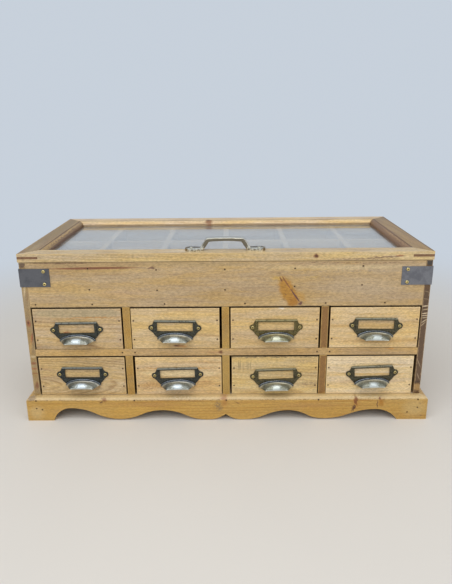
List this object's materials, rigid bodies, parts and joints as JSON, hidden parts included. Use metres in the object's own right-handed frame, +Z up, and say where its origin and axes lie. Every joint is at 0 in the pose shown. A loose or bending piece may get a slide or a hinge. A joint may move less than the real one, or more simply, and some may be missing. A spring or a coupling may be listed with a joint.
{
  "type": "apothecary drawer cabinet",
  "caption": "Pine tabletop chest with a glazed hinged lid over a divided tray, small drawers with label pulls below and a scalloped plinth.",
  "frame": {"origin": "on the floor, under the middle of the whole piece's box", "axes": "+X to the right seen from the front, +Y to the back, +Z up"},
  "size_m": [0.6186, 0.3046, 0.2841],
  "materials": {
    "case_pine": "satin",
    "drawer_pine": "satin",
    "plinth_pine": "satin",
    "lid_pine": "satin",
    "inner_pine": "matte",
    "key_wood": "matte",
    "clear_glass": "polished",
    "bronze": "worn satin",
    "old_brass": "worn satin",
    "slate_metal": "matte",
    "screw_brass": "satin",
    "nail_steel": "matte",
    "hinge_steel": "satin"
  },
  "bodies": {
    "cabinet": {"case_side_left": "case_pine", "case_side_right": "case_pine", "case_back": "inner_pine", "front_board": "case_pine", "tray_floor": "inner_pine", "drawer_shelf": "case_pine", "case_bottom": "inner_pine", "drawer_partitions": "case_pine", "tray_dividers": "inner_pine", "plinth_front": "plinth_pine", "plinth_left": "plinth_pine", "plinth_right": "plinth_pine", "plinth_back": "plinth_pine", "plinth_corner_blocks": "plinth_pine", "corner_brackets": "slate_metal", "case_screws": "screw_brass", "case_nails": "nail_steel", "hinge_case_leaves": "hinge_steel", "hinge_pins": "hinge_steel"},
    "lid": {"lid_front_rail": "lid_pine", "lid_back_rail": "lid_pine", "lid_side_rails": "lid_pine", "lid_corner_keys": "key_wood", "lid_glass": "clear_glass", "glazing_points": "hinge_steel", "lid_handle": "old_brass", "lid_screws": "screw_brass", "hinge_lid_leaves": "hinge_steel"},
    "drawer_1": {"drawer_1_front": "drawer_pine", "drawer_1_box": "inner_pine", "drawer_1_pull": "bronze", "drawer_1_fixings": "screw_brass"},
    "drawer_2": {"drawer_2_front": "drawer_pine", "drawer_2_box": "inner_pine", "drawer_2_pull": "bronze", "drawer_2_fixings": "screw_brass"},
    "drawer_3": {"drawer_3_front": "drawer_pine", "drawer_3_box": "inner_pine", "drawer_3_pull": "bronze", "drawer_3_fixings": "screw_brass"},
    "drawer_4": {"drawer_4_front": "drawer_pine", "drawer_4_box": "inner_pine", "drawer_4_pull": "bronze", "drawer_4_fixings": "screw_brass"},
    "drawer_5": {"drawer_5_front": "drawer_pine", "drawer_5_box": "inner_pine", "drawer_5_pull": "bronze", "drawer_5_fixings": "screw_brass"},
    "drawer_6": {"drawer_6_front": "drawer_pine", "drawer_6_box": "inner_pine", "drawer_6_pull": "bronze", "drawer_6_fixings": "screw_brass"},
    "drawer_7": {"drawer_7_front": "drawer_pine", "drawer_7_box": "inner_pine", "drawer_7_pull": "bronze", "drawer_7_fixings": "screw_brass"},
    "drawer_8": {"drawer_8_front": "drawer_pine", "drawer_8_box": "inner_pine", "drawer_8_pull": "bronze", "drawer_8_fixings": "screw_brass"}
  },
  "joints": [
    {"name": "lid_hinge", "type": "hinge", "parent": "cabinet", "child": "lid", "pos_m": [0, 0.14995, 0.2522], "axis": [-1, 0, 0], "range_deg": [0, 100]},
    {"name": "drawer_1_slide", "type": "slide", "parent": "cabinet", "child": "drawer_1", "axis": [0, -1, 0], "range_m": [0, 0.2]},
    {"name": "drawer_2_slide", "type": "slide", "parent": "cabinet", "child": "drawer_2", "axis": [0, -1, 0], "range_m": [0, 0.2]},
    {"name": "drawer_3_slide", "type": "slide", "parent": "cabinet", "child": "drawer_3", "axis": [0, -1, 0], "range_m": [0, 0.2]},
    {"name": "drawer_4_slide", "type": "slide", "parent": "cabinet", "child": "drawer_4", "axis": [0, -1, 0], "range_m": [0, 0.2]},
    {"name": "drawer_5_slide", "type": "slide", "parent": "cabinet", "child": "drawer_5", "axis": [0, -1, 0], "range_m": [0, 0.2]},
    {"name": "drawer_6_slide", "type": "slide", "parent": "cabinet", "child": "drawer_6", "axis": [0, -1, 0], "range_m": [0, 0.2]},
    {"name": "drawer_7_slide", "type": "slide", "parent": "cabinet", "child": "drawer_7", "axis": [0, -1, 0], "range_m": [0, 0.2]},
    {"name": "drawer_8_slide", "type": "slide", "parent": "cabinet", "child": "drawer_8", "axis": [0, -1, 0], "range_m": [0, 0.2]}
  ]
}
